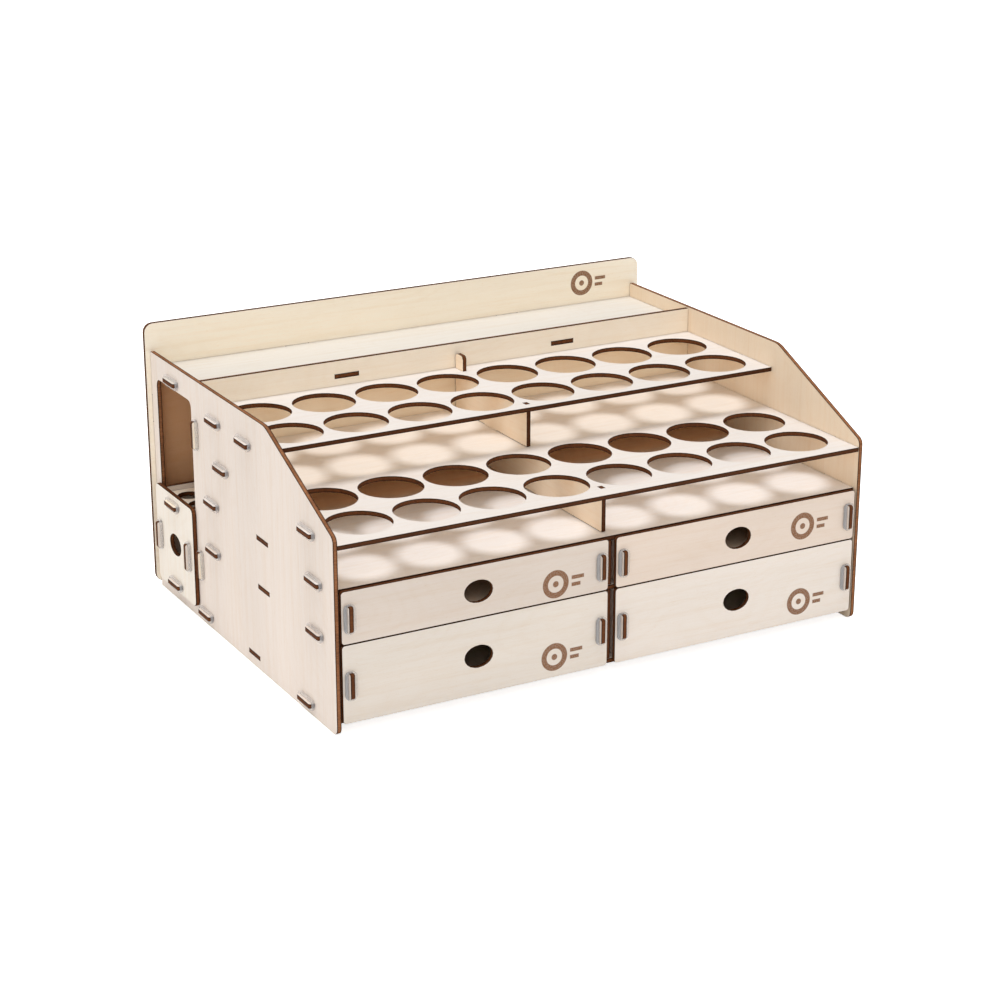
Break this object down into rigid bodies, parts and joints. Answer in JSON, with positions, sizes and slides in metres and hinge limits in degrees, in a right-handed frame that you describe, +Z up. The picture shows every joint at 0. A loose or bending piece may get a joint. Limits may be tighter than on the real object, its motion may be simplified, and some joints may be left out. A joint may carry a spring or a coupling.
{
  "type": "paint rack organizer",
  "caption": "Stepped plywood desktop rack with round holes for paint pots, a top tray, pull-out drawers in front and a pull-out brush box in each end.",
  "frame": {"origin": "centre of the bounding box's underside, on the table surface", "axes": "+X to the right seen from the front, along the width; +Y to the rear; +Z up"},
  "size_m": [0.3212, 0.2382, 0.152],
  "materials": {
    "plywood": "bare basswood plywood faces, laser-burnt brown edges",
    "soft_ring": "translucent milky silicone"
  },
  "bodies": {
    "root": {"left_side_panel": "plywood", "right_side_panel": "plywood", "back_panel": "plywood", "rear_partition": "plywood", "tray_floor": "plywood", "upper_rack_plate": "plywood", "lower_rack_deck": "plywood", "drawer_bay_top_shelf": "plywood", "drawer_bay_middle_shelf": "plywood", "base_board": "plywood", "upper_tier_divider": "plywood", "lower_tier_divider": "plywood", "upper_drawer_divider": "plywood", "lower_drawer_divider": "plywood", "rear_centre_rib": "plywood"},
    "upper_left_drawer": {"upper_left_drawer_front": "plywood", "upper_left_drawer_left_wall": "plywood", "upper_left_drawer_right_wall": "plywood", "upper_left_drawer_back": "plywood", "upper_left_drawer_floor": "plywood", "upper_left_drawer_left_ring": "soft_ring", "upper_left_drawer_right_ring": "soft_ring"},
    "upper_right_drawer": {"upper_right_drawer_front": "plywood", "upper_right_drawer_left_wall": "plywood", "upper_right_drawer_right_wall": "plywood", "upper_right_drawer_back": "plywood", "upper_right_drawer_floor": "plywood", "upper_right_drawer_left_ring": "soft_ring", "upper_right_drawer_right_ring": "soft_ring"},
    "lower_left_drawer": {"lower_left_drawer_front": "plywood", "lower_left_drawer_left_wall": "plywood", "lower_left_drawer_right_wall": "plywood", "lower_left_drawer_back": "plywood", "lower_left_drawer_floor": "plywood", "lower_left_drawer_left_ring": "soft_ring", "lower_left_drawer_right_ring": "soft_ring"},
    "lower_right_drawer": {"lower_right_drawer_front": "plywood", "lower_right_drawer_left_wall": "plywood", "lower_right_drawer_right_wall": "plywood", "lower_right_drawer_back": "plywood", "lower_right_drawer_floor": "plywood", "lower_right_drawer_left_ring": "soft_ring", "lower_right_drawer_right_ring": "soft_ring"},
    "left_brush_box": {"left_brush_box_front": "plywood", "left_brush_box_front_wall": "plywood", "left_brush_box_rear_wall": "plywood", "left_brush_box_end_wall": "plywood", "left_brush_box_hole_plate": "plywood", "left_brush_box_floor": "plywood", "left_brush_box_top_ring": "soft_ring", "left_brush_box_low_ring": "soft_ring", "left_brush_box_front_ring": "soft_ring", "left_brush_box_rear_ring": "soft_ring"},
    "right_brush_box": {"right_brush_box_front": "plywood", "right_brush_box_front_wall": "plywood", "right_brush_box_rear_wall": "plywood", "right_brush_box_end_wall": "plywood", "right_brush_box_hole_plate": "plywood", "right_brush_box_floor": "plywood"}
  },
  "joints": [
    {"name": "upper_left_drawer_slide", "type": "slide", "parent": "root", "child": "upper_left_drawer", "axis": [0, -1, 0], "range_m": [0, 0.12]},
    {"name": "upper_right_drawer_slide", "type": "slide", "parent": "root", "child": "upper_right_drawer", "axis": [0, -1, 0], "range_m": [0, 0.12]},
    {"name": "lower_left_drawer_slide", "type": "slide", "parent": "root", "child": "lower_left_drawer", "axis": [0, -1, 0], "range_m": [0, 0.12]},
    {"name": "lower_right_drawer_slide", "type": "slide", "parent": "root", "child": "lower_right_drawer", "axis": [0, -1, 0], "range_m": [0, 0.12]},
    {"name": "left_brush_box_slide", "type": "slide", "parent": "root", "child": "left_brush_box", "axis": [-1, 0, 0], "range_m": [0, 0.11]},
    {"name": "right_brush_box_slide", "type": "slide", "parent": "root", "child": "right_brush_box", "axis": [1, 0, 0], "range_m": [0, 0.11]}
  ]
}
